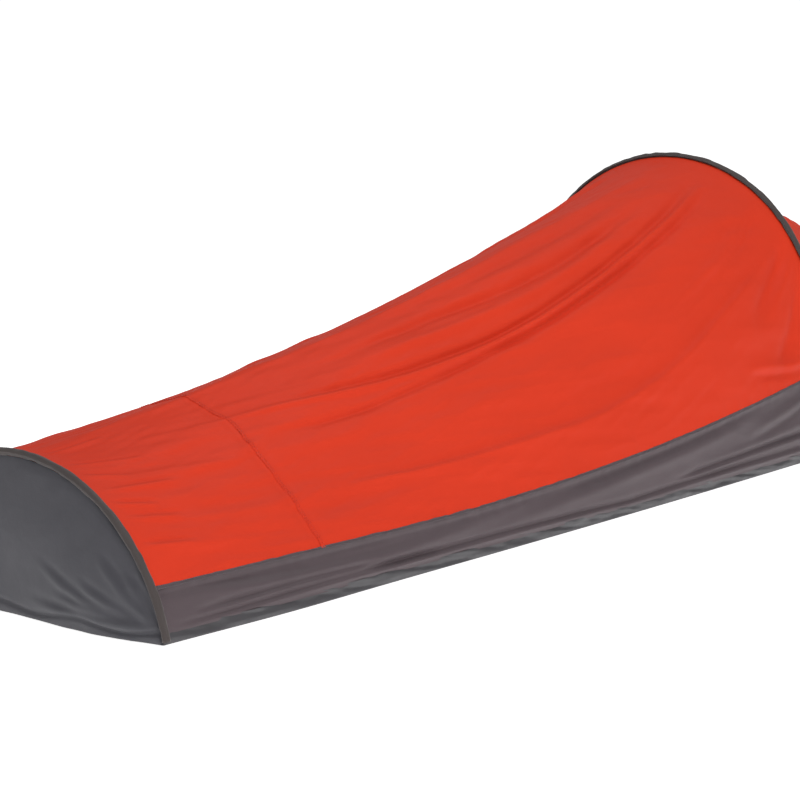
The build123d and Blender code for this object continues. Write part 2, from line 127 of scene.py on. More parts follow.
def skin(x, around, inset=SKIN_IN):
    """Point on the skin between the hoops, x from the foot hoop, around from 0 to 1."""
    share = x / SPACING
    to_hoop = np.minimum(x, SPACING - x)
    inset = inset - 0.0044 * np.exp(-((to_hoop / 0.03) ** 2))
    half, tall, centre = arch_numbers(share, inset)
    y, z, _, _, run = arch(half, tall, centre, around)
    seam_y, seam_share = leg_at(half, tall, centre, seam_level(x))
    low = np.minimum(around, 1 - around)
    up = np.clip((low - seam_share) / (0.5 - seam_share), 0, 1)
    side = np.where(around < 0.5, -1.0, 1.0)
    swell = 4 * share * (1 - share)
    near = NEAR_DRAW + NEAR_DRAW_TO_FOOT * (1 - 2 * share)
    far = FAR_DRAW + FAR_DRAW_TO_FOOT * (1 - 2 * share)
    ease = np.clip(to_hoop / 0.14, 0, 1)
    pull = np.where(around < 0.5, near, far) * swell**0.7 * ease * (2 - ease)
    pull = np.where(low > seam_share, pull, 0)
    y = y * (1 - pull) + side * seam_y * (1 - up) * pull
    z = z * (1 - pull) + (seam_level(x) + (tall - seam_level(x)) * up) * pull
    y = y - SHOULDER_IN * swell * np.sin(np.pi * up / 2) ** 2
    return np.stack([FOOT_X + x, y, z], -1)


def side_point(x, up, side):
    """Point on a side wall or the floor's turned-up edge: up is a height, side -1 or 1."""
    share = np.clip(x / SPACING, 0, 1)
    half, tall, centre = arch_numbers(share, SKIN_IN)
    y_body, _ = leg_at(half, tall, centre, up)
    hood_share = np.clip((x - SPACING) / REACH, 0, 1)
    y = y_body + (end_half(up + 0 * x) - y_body) * hood_share
    fade = np.clip(1 - up / 0.06, 0, 1)
    y = y + 0.0045 * np.exp(-(((x - 0.22) / 0.15) ** 2)) * fade
    return np.stack([FOOT_X + x, side * y, up + 0 * y], -1)


def end_half(level):
    """Half width of the head end at a level."""
    return leg_at(END_HALF - SKIN_IN + 0 * level, HEAD_TALL - SKIN_IN + 0 * level, 0 * level, level)[0]


# ---------------------------------------------------------------- wrinkles
def lattice(u, v, cell_u, cell_v, seed):
    """Smooth random hills, about -1 to 1, with cells of the given size in metres."""
    draws = np.random.default_rng(seed).uniform(-1, 1, (97, 101))
    p, q = u / cell_u + 31.0, v / cell_v + 37.0
    i, j = np.floor(p).astype(int), np.floor(q).astype(int)
    a, b = p - i, q - j
    a, b = a * a * a * (a * (a * 6 - 15) + 10), b * b * b * (b * (b * 6 - 15) + 10)
    g = lambda m, n: draws[m % 97, n % 101]
    low = g(i, j) * (1 - a) + g(i + 1, j) * a
    high = g(i, j + 1) * (1 - a) + g(i + 1, j + 1) * a
    return low * (1 - b) + high * b


def ripples(run, cell, seed):
    """Random hills along a line."""
    return lattice(run, 0 * run, cell, 1, seed)


def near_line(u, v, line):
    """Signed distance to a smooth line through the points, and the share of the way along it."""
    pts = np.array(line, float)
    knots = np.linspace(0, 1, len(pts))
    fine = np.linspace(0, 1, 12 * (len(pts) - 1) + 1)
    curve = np.stack([np.interp(fine, knots, pts[:, 0]), np.interp(fine, knots, pts[:, 1])], -1)
    for _ in range(14):
        curve[1:-1] = (curve[:-2] + curve[1:-1] * 2 + curve[2:]) / 4
    best = np.full(u.shape, 1e9)
    signed = np.zeros(u.shape)
    where = np.zeros(u.shape)
    for k in range(len(curve) - 1):
        a, b = curve[k], curve[k + 1]
        d = b - a
        length = max(float(d @ d), 1e-12)
        t = np.clip(((u - a[0]) * d[0] + (v - a[1]) * d[1]) / length, 0, 1)
        du, dv = u - a[0] - t * d[0], v - a[1] - t * d[1]
        gap = du * du + dv * dv
        closer = gap < best
        best = np.where(closer, gap, best)
        turn = np.sign(d[0] * dv - d[1] * du)
        signed = np.where(closer, turn * np.sqrt(gap), signed)
        where = np.where(closer, (k + t) / (len(curve) - 1), where)
    return signed, where


def fold(u, v, line, height, width, crease=0.0, fade=0.18):
    """A fold: a rounded ridge, or with crease a sharp-sided one with a dip beside it."""
    d, t = near_line(u, v, line)
    strength = np.clip(t / fade, 0, 1) * np.clip((1 - t) / fade, 0, 1)
    strength = strength * strength * (3 - 2 * strength)
    ridge = np.exp(-((d / width) ** 2))
    dip = np.exp(-(((d - crease * width) / (width * 0.8)) ** 2)) if crease else 0
    return height * strength * (ridge - 0.8 * dip)


def step_fold(u, v, line, height, width, fade=0.18):
    """Fabric lifted on one side of a line: a sharp rise and a long fall."""
    d, t = near_line(u, v, line)
    strength = np.clip(t / fade, 0, 1) * np.clip((1 - t) / fade, 0, 1)
    rise = np.where(d > 0, np.exp(-d / (width * 2.6)), np.exp(-((d / (width * 0.45)) ** 2)))
    return height * strength * rise


# ---------------------------------------------------------------- meshes
def piece_from(name, points, faces, material, smooth=True):
    mesh = bpy.data.meshes.new(name)
    mesh.from_pydata([tuple(map(float, p)) for p in points], [], faces)
    mesh.validate()
    mesh.update()
    mesh.polygons.foreach_set("use_smooth", [smooth] * len(mesh.polygons))
    mesh.materials.append(material)
    made = bpy.data.objects.new(name, mesh)
    bpy.context.scene.collection.objects.link(made)
    return made


def grid_faces(rows, columns, closed=False, offset=0):
    out = []
    last = columns if closed else columns - 1
    for i in range(rows - 1):
        for j in range(last):
            k = (j + 1) % columns
            a, b = offset + i * columns + j, offset + i * columns + k
            out.append((a, b, b + columns, a + columns))
    return out


def end_caps(rings, sides):
    """Faces that close the two ends of a tube."""
    start = (rings - 1) * sides
    return [tuple(range(sides - 1, -1, -1)), tuple(range(start, start + sides))]


def normals_of(grid, outward):
    du = np.gradient(grid, axis=0)
    dv = np.gradient(grid, axis=1)
    n = np.cross(du, dv)
    n /= np.linalg.norm(n, axis=-1, keepdims=True) + 1e-12
    sign = np.sign((n * outward).sum(-1, keepdims=True))
    return n * np.where(sign == 0, 1, sign)


def sheet_from(name, grid, material, outward):
    rows, columns = grid.shape[:2]
    faces = grid_faces(rows, columns)
    mid = grid[rows // 2, columns // 2]
    n = np.cross(grid[rows // 2 + 1, columns // 2] - mid, grid[rows // 2, columns // 2 + 1] - mid)
    if n @ outward[rows // 2, columns // 2] > 0:
        faces = [f[::-1] for f in faces]
    return piece_from(name, grid.reshape(-1, 3), faces, material)


def arc_lengths(grid, axis):
    step = np.linalg.norm(np.diff(grid, axis=axis), axis=-1)
    pad = [(0, 0), (0, 0)]
    pad[axis] = (1, 0)
    return np.cumsum(np.pad(step, pad), axis=axis)


def tube(path, sides, rings):
    """Mesh round a path; rings gives the two half sizes and two unit vectors at each point."""
    points, faces = [], []
    for centre, (a, b, ua, ub, power) in zip(path, rings):
        for k in range(sides):
            t = 2 * math.pi * k / sides
            c, s = math.cos(t), math.sin(t)
            ca = math.copysign(abs(c) ** power, c)
            sb = math.copysign(abs(s) ** power, s)
            points.append(centre + ua * a * ca + ub * b * sb)
    faces = grid_faces(len(path), sides, closed=True)
    return points, faces + end_caps(len(path), sides)


def stitches(name, lines, material, pitch=0.0036, length=0.0026, thick=0.00042):
    """Short thread stitches along lines; each line is (points, normals)."""
    points, faces = [], []
    for pts, nrm in lines:
        pts, nrm = np.array(pts), np.array(nrm)
        run = np.concatenate([[0], np.cumsum(np.linalg.norm(np.diff(pts, axis=0), axis=1))])
        for at in np.arange(pitch, run[-1] - length, pitch):
            a = np.array([np.interp(at, run, pts[:, k]) for k in range(3)])
            b = np.array([np.interp(at + length, run, pts[:, k]) for k in range(3)])
            n = np.array([np.interp(at, run, nrm[:, k]) for k in range(3)])
            n /= np.linalg.norm(n)
            d = (b - a) / np.linalg.norm(b - a)
            w = np.cross(d, n)
            base = len(points)
            for where, out, wide in ((a, 0.0, 0.4), ((a + b) / 2, 1.0, 1.0), (b, 0.0, 0.4)):
                c = where + n * thick * (0.55 * out)
                half = thick * wide
                points += [c + w * half, c + n * half, c - w * half, c - n * half]
            for i in (0, 4):
                for k in range(4):
                    m = (k + 1) % 4
                    faces.append((base + i + k, base + i + m, base + i + 4 + m, base + i + 4 + k))
            faces.append((base + 3, base + 2, base + 1, base))
            faces.append((base + 8, base + 9, base + 10, base + 11))
    return piece_from(name, points, faces, material)


def ribbon(name, pts, nrm, width, thick, material, lift=0.0006, gather=0.0, seed=1):
    """A flat strip laid along a line on the fabric, with rounded long edges."""
    pts, nrm = np.array(pts), np.array(nrm)
    tangent = np.gradient(pts, axis=0)
    tangent /= np.linalg.norm(tangent, axis=1, keepdims=True)
    cross = np.cross(tangent, nrm)
    cross /= np.linalg.norm(cross, axis=1, keepdims=True)
    run = np.concatenate([[0], np.cumsum(np.linalg.norm(np.diff(pts, axis=0), axis=1))])
    wave = gather * ripples(run, 0.012, seed)
    rings = []
    for k in range(len(pts)):
        spread = 1 + 0.08 * wave[k] / max(gather, 1e-9)
        rings.append((width / 2 * spread, thick / 2, cross[k], nrm[k], 0.45))
    path = [pts[k] + nrm[k] * (lift + wave[k]) for k in range(len(pts))]
    points, faces = tube(path, 12, rings)
    return piece_from(name, points, faces, material)


# ---------------------------------------------------------------- materials
class Look:
    """A node material built up in steps."""

    def __init__(self, name, roughness=0.55, sheen=0.0, metallic=0.0, spec=0.35, sheen_rough=0.4):
        self.material = bpy.data.materials.new(name)
        self.material.use_nodes = True
        self.nodes = self.material.node_tree.nodes
        self.links = self.material.node_tree.links
        self.shader = self.nodes["Principled BSDF"]
        self.set("Roughness", roughness)
        self.set("Metallic", metallic)
        self.set("Sheen Weight", sheen)
        self.set("Sheen Roughness", sheen_rough)
        self.set("Specular IOR Level", spec)
        self.where = self.nodes.new("ShaderNodeTexCoord").outputs["Object"]

    def set(self, socket, value):
        self.shader.inputs[socket].default_value = value

    def noise(self, scale, detail=3.0, stretch=(1, 1, 1), roughness=0.55):
        mapping = self.nodes.new("ShaderNodeMapping")
        mapping.inputs["Scale"].default_value = stretch
        self.links.new(self.where, mapping.inputs["Vector"])
        node = self.nodes.new("ShaderNodeTexNoise")
        node.inputs["Scale"].default_value = scale
        node.inputs["Detail"].default_value = detail
        node.inputs["Roughness"].default_value = roughness
        self.links.new(mapping.outputs[0], node.inputs["Vector"])
        return node.outputs["Fac"]

    def wave(self, scale, direction="X", distortion=0.0, profile="SIN"):
        node = self.nodes.new("ShaderNodeTexWave")
        node.bands_direction = direction
        node.wave_profile = profile
        node.inputs["Scale"].default_value = scale
        node.inputs["Distortion"].default_value = distortion
        node.inputs["Detail Scale"].default_value = 2.0
        self.links.new(self.where, node.inputs["Vector"])
        return node.outputs["Fac"]

    def math(self, kind, a, b):
        node = self.nodes.new("ShaderNodeMath")
        node.operation = kind
        for socket, value in zip(node.inputs, (a, b)):
            if isinstance(value, (int, float)):
                socket.default_value = value
            else:
                self.links.new(value, socket)
        return node.outputs[0]

    def ramp(self, fac, stops):
        node = self.nodes.new("ShaderNodeValToRGB")
        ramp = node.color_ramp
        while len(ramp.elements) < len(stops):
            ramp.elements.new(0.5)
        for element, (at, colour) in zip(ramp.elements, stops):
            element.position = at
            element.color = (*colour, 1)
        self.links.new(fac, node.inputs["Fac"])
        return node.outputs["Color"]

    def mix(self, fac, a, b, kind="MIX"):
        node = self.nodes.new("ShaderNodeMix")
        node.data_type = "RGBA"
        node.blend_type = kind
        for socket, value in ((node.inputs[0], fac), (node.inputs[6], a), (node.inputs[7], b)):
            if isinstance(value, (int, float)):
                socket.default_value = value
            elif isinstance(value, tuple):
                socket.default_value = (*value, 1)
            else:
                self.links.new(value, socket)
        return node.outputs[2]

    def colour(self, output):
        self.links.new(output, self.shader.inputs["Base Color"])

    def rough(self, fac, low, high):
        node = self.nodes.new("ShaderNodeMapRange")
        node.inputs["To Min"].default_value = low
        node.inputs["To Max"].default_value = high
        self.links.new(fac, node.inputs["Value"])
        self.links.new(node.outputs[0], self.shader.inputs["Roughness"])

    def bump(self, layers):
        """Layers of (height output, strength, distance), one on top of the other."""
        last = None
        for height, strength, distance in layers:
            node = self.nodes.new("ShaderNodeBump")
            node.inputs["Strength"].default_value = strength
            node.inputs["Distance"].default_value = distance
            self.links.new(height, node.inputs["Height"])
            if last is not None:
                self.links.new(last, node.inputs["Normal"])
            last = node.outputs["Normal"]
        self.links.new(last, self.shader.inputs["Normal"])
        return self.material


def shade(colour, k):
    return tuple(min(1.0, c * k) for c in colour)


def woven(name, colour, roughness, sheen, weave, contrast, wear, ripple, spec=0.35, ripstop=0.0):
    """Plain-weave fabric: thread crossings, slubs, a soft crumple and slow colour variation."""
    look = Look(name, roughness, sheen, spec=spec)
    warp = look.wave(weave, "X", 0.4)
    weft = look.wave(weave, "Z", 0.4)
    side = look.wave(weave, "Y", 0.4)
    threads = look.math("ADD", look.math("MULTIPLY", warp, weft), look.math("MULTIPLY", side, 0.5))
    slub = look.noise(420, 2.0, (1, 0.15, 0.15))
    cloud = look.noise(5.5, 4.0, (0.6, 1, 1))
    crumple = look.noise(38, 5.0, (0.55, 1.2, 1.2), 0.6)
    big = look.noise(13, 3.0, (0.5, 1.3, 1.3))
    dark, light = shade(colour, 1 - contrast), shade(colour, 1 + contrast)
    base = look.ramp(cloud, [(0.25, dark), (0.55, colour), (0.8, light)])
    base = look.mix(look.math("MULTIPLY", slub, 0.22), base, shade(colour, 0.8))
    base = look.mix(look.math("MULTIPLY", threads, wear), base, shade(colour, 1.35))
    look.colour(base)
    look.rough(look.noise(24, 3.0), roughness - 0.07, roughness + 0.08)
    layers = [(big, 0.35, ripple * 2.2), (crumple, 0.4, ripple)]
    layers += [(slub, 0.12, 0.0003), (threads, 0.16, 0.00022)]
    if ripstop:
        grid = look.math("MAXIMUM", look.wave(ripstop, "X", 0.0), look.wave(ripstop, "Z", 0.0))
        heavy = look.math("POWER", grid, 26.0)
        layers.append((heavy, 0.1, 0.00025))
    return look.bump(layers)


RED = (0.645, 0.037, 0.011)
WALL = (0.080, 0.058, 0.065)
FOOT_GREY = (0.051, 0.0495, 0.0585)
FLOOR = (0.054, 0.051, 0.056)
SLEEVE = (0.058, 0.047, 0.045)
BINDING = (0.42, 0.030, 0.016)
TAPE = (0.030, 0.027, 0.030)
WEBBING = (0.036, 0.033, 0.035)
# colour, roughness, sheen, weave, then contrast, wear and ripple
canopy_look = woven("canopy_weave", RED, 0.58, 0.0, 900, 0.05, 0.03, 0.0011, spec=0.16, ripstop=40)
wall_look = woven("wall_weave", WALL, 0.55, 0.12, 760, 0.08, 0.08, 0.0012)
end_look = woven("foot_end_weave", FOOT_GREY, 0.52, 0.12, 760, 0.09, 0.08, 0.0014)
floor_look = woven("floor_coated", FLOOR, 0.42, 0.1, 640, 0.1, 0.05, 0.0010, spec=0.45)
sleeve_look = woven("sleeve_weave", SLEEVE, 0.62, 0.2, 620, 0.12, 0.12, 0.0009, spec=0.25)
binding_look = woven("binding_weave", BINDING, 0.55, 0.1, 520, 0.1, 0.15, 0.0005)
tape_look = woven("zip_tape_twill", TAPE, 0.66, 0.2, 520, 0.15, 0.3, 0.0003)
webbing_look = woven("webbing_ribs", WEBBING, 0.6, 0.2, 260, 0.15, 0.3, 0.0003)


def thread_look(name, colour):
    look = Look(name, 0.6, 0.3, spec=0.2)
    twist = look.noise(2600, 1.0, (1, 1, 1))
    look.colour(look.ramp(twist, [(0.3, shade(colour, 0.7)), (0.7, shade(colour, 1.3))]))
    return look.bump([(twist, 0.4, 0.0001)])


def hard_look(name, colour, metallic, rough, scratch, grain=900, stretch=(1, 1, 1)):
    look = Look(name, rough, 0.0, metallic, 0.5)
    fine = look.noise(grain, 3.0, stretch)
    smear = look.noise(26, 4.0)
    base = look.ramp(smear, [(0.3, shade(colour, 0.86)), (0.7, shade(colour, 1.08))])
    base = look.mix(look.math("MULTIPLY", fine, 0.25), base, shade(colour, 1.25))
    look.colour(base)
    both = look.math("ADD", look.math("MULTIPLY", fine, 0.5), look.math("MULTIPLY", smear, 0.5))
    look.rough(both, rough - scratch, rough + scratch)
    return look.bump([(fine, 0.15, 0.0002), (smear, 0.08, 0.0004)])


red_thread = thread_look("red_thread", (0.50, 0.035, 0.02))
grey_thread = thread_look("grey_thread", (0.10, 0.092, 0.098))
dark_thread = thread_look("dark_thread", (0.035, 0.03, 0.03))
coil_look = hard_look("nylon_coil", (0.028, 0.028, 0.031), 0.0, 0.38, 0.07, 1500)
pole_look = hard_look("brushed_aluminium", (0.62, 0.63, 0.65), 1.0, 0.32, 0.1, 1600, (1, 0.1, 0.1))
tip_look = hard_look("moulded_nylon", (0.035, 0.035, 0.037), 0.0, 0.5, 0.08, 1100)
cord_look = woven("braided_cord", (0.05, 0.05, 0.055), 0.7, 0.2, 900, 0.2, 0.4, 0.0003)
brass_look = hard_look("eyelet_brass", (0.70, 0.50, 0.22), 1.0, 0.3, 0.1, 1400)
zip_metal_look = hard_look("enamelled_zinc", (0.055, 0.055, 0.06), 0.6, 0.34, 0.08, 900)

for node, material in (
    [(n, pole_look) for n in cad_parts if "_pole_" in n and "tips" not in n]
    + [(n, tip_look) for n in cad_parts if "tips" in n]
    + [(n, cord_look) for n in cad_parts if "shock_cord" in n]
    + [("peg_eyelets", brass_look)]
):
    kept = bpy.data.objects[node]
    kept.data.materials.clear()
    kept.data.materials.append(material)

squashed = []


def bind(made, body, node=None):
    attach(made, body)
    if node:
        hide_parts(node)


def soft(made, node=None, body="root"):
    """Bind a piece of the shell, or of its zip, to a body and add it to the squashed list."""
    bind(made, body, node)
    squashed.append(made)


# ---------------------------------------------------------------- canopy between the hoops
# Creases: height, width, sharpness, fade and route. A route's points are the distance from the foot
# hoop in metres, and the share of the way round from the right ground. A height below 0 is a valley.
MAIN_FOLDS = (
    (0.0062, 0.0085, 0, 0.10, ((1.60, 0.426), (1.44, 0.398), (1.31, 0.382), (1.12, 0.361), (0.97, 0.346),
                               (0.83, 0.342), (0.70, 0.346), (0.53, 0.365), (0.4, 0.392), (0.3, 0.405),
                               (0.12, 0.432))),
    (-0.0092, 0.0105, 0, 0.16, ((1.59, 0.413), (1.43, 0.388), (1.28, 0.370), (1.13, 0.351), (0.98, 0.336),
                                (0.85, 0.331), (0.68, 0.325), (0.56, 0.322), (0.44, 0.325), (0.33, 0.35))),
    (-0.0080, 0.0095, 0, 0.18, ((1.58, 0.436), (1.42, 0.410), (1.30, 0.393), (1.11, 0.371), (0.96, 0.357),
                                (0.82, 0.354), (0.66, 0.366), (0.5, 0.386), (0.36, 0.408))),
)
SHOULDER_FOLDS = (
    (0.0055, 0.014, 0, 0.25, ((1.52, 0.45), (1.28, 0.420), (1.11, 0.400), (0.96, 0.396), (0.84, 0.400),
                              (0.66, 0.412), (0.5, 0.424))),
    (-0.0062, 0.013, 0, 0.25, ((1.48, 0.444), (1.28, 0.436), (1.11, 0.421), (0.96, 0.424), (0.84, 0.436),
                               (0.66, 0.444), (0.5, 0.444))),
    (-0.0045, 0.016, 0, 0.25, ((1.45, 0.485), (1.2, 0.470), (1.0, 0.474), (0.8, 0.482), (0.62, 0.478))),
)
CORNER_FOLDS = (
    (-0.0085, 0.017, 0, 0.35, ((1.64, 0.292), (1.57, 0.256), (1.5, 0.226), (1.43, 0.195))),
    (0.0035, 0.011, 0, 0.3, ((1.64, 0.272), (1.57, 0.236), (1.5, 0.206))),
    (-0.0085, 0.017, 0, 0.35, ((1.64, 0.25), (1.58, 0.195), (1.52, 0.150), (1.46, 0.128))),
    (-0.0055, 0.010, 0, 0.3, ((1.63, 0.122), (1.52, 0.118), (1.35, 0.138))),
    (0.0026, 0.009, 0, 0.3, ((1.60, 0.132), (1.50, 0.130), (1.36, 0.15))),
    (0.0026, 0.012, 1.4, 0.3, ((1.64, 0.37), (1.5, 0.318), (1.36, 0.288), (1.2, 0.262))),
)
SIDE_FOLDS = (
    (0.0024, 0.02, 0, 0.3, ((1.1, 0.245), (0.9, 0.236), (0.7, 0.246), (0.5, 0.262))),
    (-0.0022, 0.016, 0, 0.3, ((1.2, 0.212), (0.95, 0.2), (0.75, 0.206), (0.6, 0.214))),
)
FAR_FOLDS = (
    (-0.0042, 0.016, 0, 0.2, ((1.5, 0.63), (1.1, 0.655), (0.8, 0.66), (0.4, 0.64))),
    (0.0042, 0.014, 0, 0.2, ((1.55, 0.60), (1.1, 0.632), (0.8, 0.636), (0.35, 0.612))),
)
# height, width, fade and route of fabric lifted on one side of a line
STEP_FOLDS = (
    (0.0070, 0.020, 0.12, ((1.62, 0.290), (1.39, 0.234), (1.2, 0.183), (0.97, 0.152), (0.73, 0.158),
                           (0.54, 0.168), (0.4, 0.19))),
    (0.0034, 0.014, 0.15, ((0.4, 0.82), (0.75, 0.845), (1.1, 0.85), (1.4, 0.78), (1.6, 0.72))),
)
# shares of the way round where a short pull starts and ends, and its length along the canopy
FOOT_PULLS = ((0.40, 0.37, 0.15), (0.31, 0.30, 0.17), (0.24, 0.22, 0.13), (0.18, 0.16, 0.12),
              (0.46, 0.47, 0.14), (0.36, 0.33, 0.10), (0.275, 0.255, 0.1))
FOOT_TOP_PULLS = ((0.60, 0.61, 0.2), (0.69, 0.68, 0.16), (0.78, 0.79, 0.12), (0.53, 0.54, 0.15))
HEAD_PULLS = ((0.58, 0.585, 0.5), (0.66, 0.655, 0.42), (0.74, 0.72, 0.5), (0.82, 0.83, 0.3),
              (0.88, 0.875, 0.25))


def canopy_wrinkles(x, around):
    """Height of the creases on the canopy; around is the share of the way round from the right ground."""
    w = around * ROUND
    h = 0 * x
    toward_foot = 0.35 + 0.65 * np.clip((x - 0.3) / 0.6, 0, 1)

    def crease(height, width, crease_at, fade, route):
        return fold(x, w, [(a, b * ROUND) for a, b in route], height, width, crease_at, fade)

    for numbers in MAIN_FOLDS:
        h += toward_foot * crease(*numbers)
    for numbers in SHOULDER_FOLDS + CORNER_FOLDS + SIDE_FOLDS + FAR_FOLDS:
        h += crease(*numbers)
    for height, width, fade, route in STEP_FOLDS:
        h += step_fold(x, w, [(a, b * ROUND) for a, b in route], height, width, fade)
    for k, (a, b, c) in enumerate(FOOT_PULLS):
        h += crease(0.0021, 0.007 + 0.001 * (k % 3), 1.6, 0.35, [(0.012, a), (c * 0.6, (a + b) / 2), (c, b)])
    for a, b, c in FOOT_TOP_PULLS:
        h += crease(0.0016, 0.009, 1.6, 0.35, [(0.012, a), (c, b)])
    for a, b, c in HEAD_PULLS:
        middle = (1.64 - c * 0.5, (a + b) / 2 + 0.006)
        h += crease(0.0032, 0.011, 1.5, 0.35, [(1.64, a), middle, (1.64 - c, b)])
    # slack between the long creases, drawn out along the bivy
    slack = np.clip(x / 0.12, 0, 1) * np.clip((SPACING - x) / 0.1, 0, 1)
    h += 0.0026 * lattice(x, w, 0.21, 0.042, 5) * slack
    h += 0.0012 * lattice(x, w + 0.25 * x, 0.11, 0.021, 6) * slack
    h += 0.0005 * lattice(x, w - 0.35 * x, 0.06, 0.014, 7) * slack
    return h


def cross_x(around):
    """The cross seam isn't quite straight over the near shoulder."""
    return CROSS_AT + 0.003 * np.sin(around * 9) + 0.006 * np.exp(-(((around - 0.385) / 0.035) ** 2))


def canopy_grid(x0, x1, rows, columns):
    """Grid of points on the canopy; x0 and x1 may be functions of the share round the arch."""
    r = np.linspace(0, 1, rows)[:, None]
    c = np.linspace(0, 1, columns)[None, :]
    guess = 0.08 + 0.84 * c
    start = x0(guess) if callable(x0) else x0 + 0 * guess
    stop = x1(guess) if callable(x1) else x1 + 0 * guess
    x = start + (stop - start) * r
    half, tall, centre = arch_numbers(x / SPACING, SKIN_IN)
    _, low = leg_at(half, tall, centre, seam_level(x))
    around = low + (1 - 2 * low) * c
    flat = skin(x, around)
    outward = np.stack([0 * x, flat[..., 1], flat[..., 2] + 0.05], -1)
    n = normals_of(flat, outward)
    rise = canopy_wrinkles(x, around)
    edge = np.minimum(around - low, 1 - low - around) * ROUND
    rise = rise * np.clip(edge / 0.03, 0, 1) * np.clip(x / 0.03, 0, 1) * np.clip((SPACING - x) / 0.03, 0, 1)
    # gathers where the panel is sewn to the wall and at the cross seam
    along_seam = ripples(x, 0.017, 11) + 0.6 * ripples(x, 0.008, 12)
    rise = rise + 0.0009 * along_seam * np.exp(-edge / 0.014)
    to_cross = np.abs(x - cross_x(around))
    rise = rise + 0.0008 * ripples(around * ROUND, 0.016, 13) * np.exp(-to_cross / 0.012)
    rise = rise - 0.0010 * np.exp(-((to_cross - 0.009) / 0.005) ** 2)
    return flat + n * rise[..., None], n


fine = 1.0
grid_main, n_main = canopy_grid(cross_x, SPACING, int(270 * fine), int(290 * fine))
canopy_main = sheet_from("canopy_main_cloth", grid_main, canopy_look, n_main)
soft(canopy_main, "canopy_main_panel")
grid_foot, n_foot = canopy_grid(0.0, cross_x, int(90 * fine), int(220 * fine))
canopy_foot = sheet_from("canopy_foot_cloth", grid_foot, canopy_look, n_foot)
soft(canopy_foot, "canopy_foot_panel")

# ---------------------------------------------------------------- hood and its front
def front_outline(share):
    """The front panel's side and top edge in its own plane, from its right corner over to the left."""
    corner = float(end_half(np.array(END_WALL)))
    top = (REACH - FLAT_TOP) / math.cos(SLOPE)
    wide = np.array([corner, 0.240, 0.234, 0.222, 0.198, 0.160, 0.112, 0.060, 0.0])
    high = np.array([0.0, 0.09, 0.18, 0.265, 0.335, 0.400, 0.465, 0.530, top])
    run = np.concatenate([[0], np.cumsum(np.hypot(np.diff(wide), np.diff(high)))])
    low = np.minimum(share, 1 - share) * 2 * run[-1]
    side = np.where(share < 0.5, -1.0, 1.0)
    return side * np.interp(low, run, wide), np.interp(low, run, high)


def hood_grid(rows, columns):
    r = np.linspace(0, 1, rows)[:, None]
    c = np.linspace(0, 1, columns)[None, :]
    one = np.ones_like(c)
    _, low0 = leg_at((HEAD_HALF - SKIN_IN) * one, (HEAD_TALL - SKIN_IN) * one, 0 * one, 0.155)
    a0 = low0 + (1 - 2 * low0) * c
    y0, z0 = arch(HEAD_HALF - SKIN_IN, HEAD_TALL - SKIN_IN, 0.0, a0)[:2]
    v1, u1 = front_outline(c)
    for _ in range(30):
        v1[:, 1:-1] = (v1[:, :-2] + 2 * v1[:, 1:-1] + v1[:, 2:]) / 4
        u1[:, 1:-1] = (u1[:, :-2] + 2 * u1[:, 1:-1] + u1[:, 2:]) / 4
    x1, z1 = END_X + u1 * UP[0], END_WALL + u1 * UP[2]
    return np.stack([HEAD_X + (x1 - HEAD_X) * r, y0 + (v1 - y0) * r, z0 + (z1 - z0) * r], -1)


hood_flat = hood_grid(int(110 * fine), int(260 * fine))
n_hood = normals_of(hood_flat, hood_flat * np.array([0.0, 1.0, 1.0]))
hood_flat = hood_flat + n_hood * (0.0044 * np.exp(-(((hood_flat[..., :1] - HEAD_X) / 0.03) ** 2)))
run_h = arc_lengths(hood_flat, 1)
back_h = arc_lengths(hood_flat, 0)
whole_h = run_h[:, -1:]
depth_h = back_h[-1:, :]
rise = 0.0018 * lattice(back_h * 0.7, run_h, 0.12, 0.045, 21)
rise = rise + 0.0009 * lattice(back_h, run_h + back_h * 0.4, 0.05, 0.02, 22)
# share of the way round, length and height of the folds that fan out from the hoop
HOOD_FOLDS = ((0.08, 0.9, 0.004), (0.17, 0.8, 0.0035), (0.27, 0.6, 0.003), (0.40, 0.5, 0.0022),
              (0.6, 0.5, 0.0022), (0.74, 0.6, 0.003), (0.84, 0.8, 0.0035), (0.93, 0.9, 0.004))
for at, reach, tall in HOOD_FOLDS:
    toward = 0.5 + (at - 0.5) * 0.86
    line = [(0.0, at * 1.15), (0.2 * reach, (at + toward) / 2 * 1.15), (0.42 * reach, toward * 1.15)]
    rise = rise + fold(back_h, run_h / whole_h * 1.15, line, tall, 0.012, 1.5, 0.3)
border = np.minimum(np.minimum(run_h, whole_h - run_h), np.minimum(back_h, depth_h - back_h))
gathers = ripples(run_h + back_h, 0.016, 23)
rise = rise * np.clip(border / 0.025, 0, 1)
rise = rise + 0.0008 * gathers * np.exp(-border / 0.012) * np.clip(border / 0.002, 0, 1)
grid_hood = hood_flat + n_hood * rise[..., None]
hood_cloth = sheet_from("hood_cloth", grid_hood, canopy_look, n_hood)
soft(hood_cloth, "hood_panel")


def door_edge(angle, radius):
    """Distance from the door's centre to its outline at an angle, in the front's plane."""
    drop = DOOR_UP - HINGE_UP
    down = -np.sin(angle)
    flat = np.where(down > 1e-6, drop / np.maximum(down, 1e-6), 1e9)
    return np.minimum(radius, flat)


def front_point(v, u, lift):
    base = np.array([END_X, 0.0, END_WALL])
    return base + v[..., None] * np.array([0.0, 1.0, 0.0]) + u[..., None] * UP + lift[..., None] * OUT


edge_line = hood_flat[-1]
border_v = np.concatenate([edge_line[:, 1], [edge_line[0, 1]]])
border_u = np.concatenate([(edge_line - np.array([END_X, 0, END_WALL])) @ UP, [0.0]])
angle = np.linspace(-np.pi, np.pi, int(420 * fine))


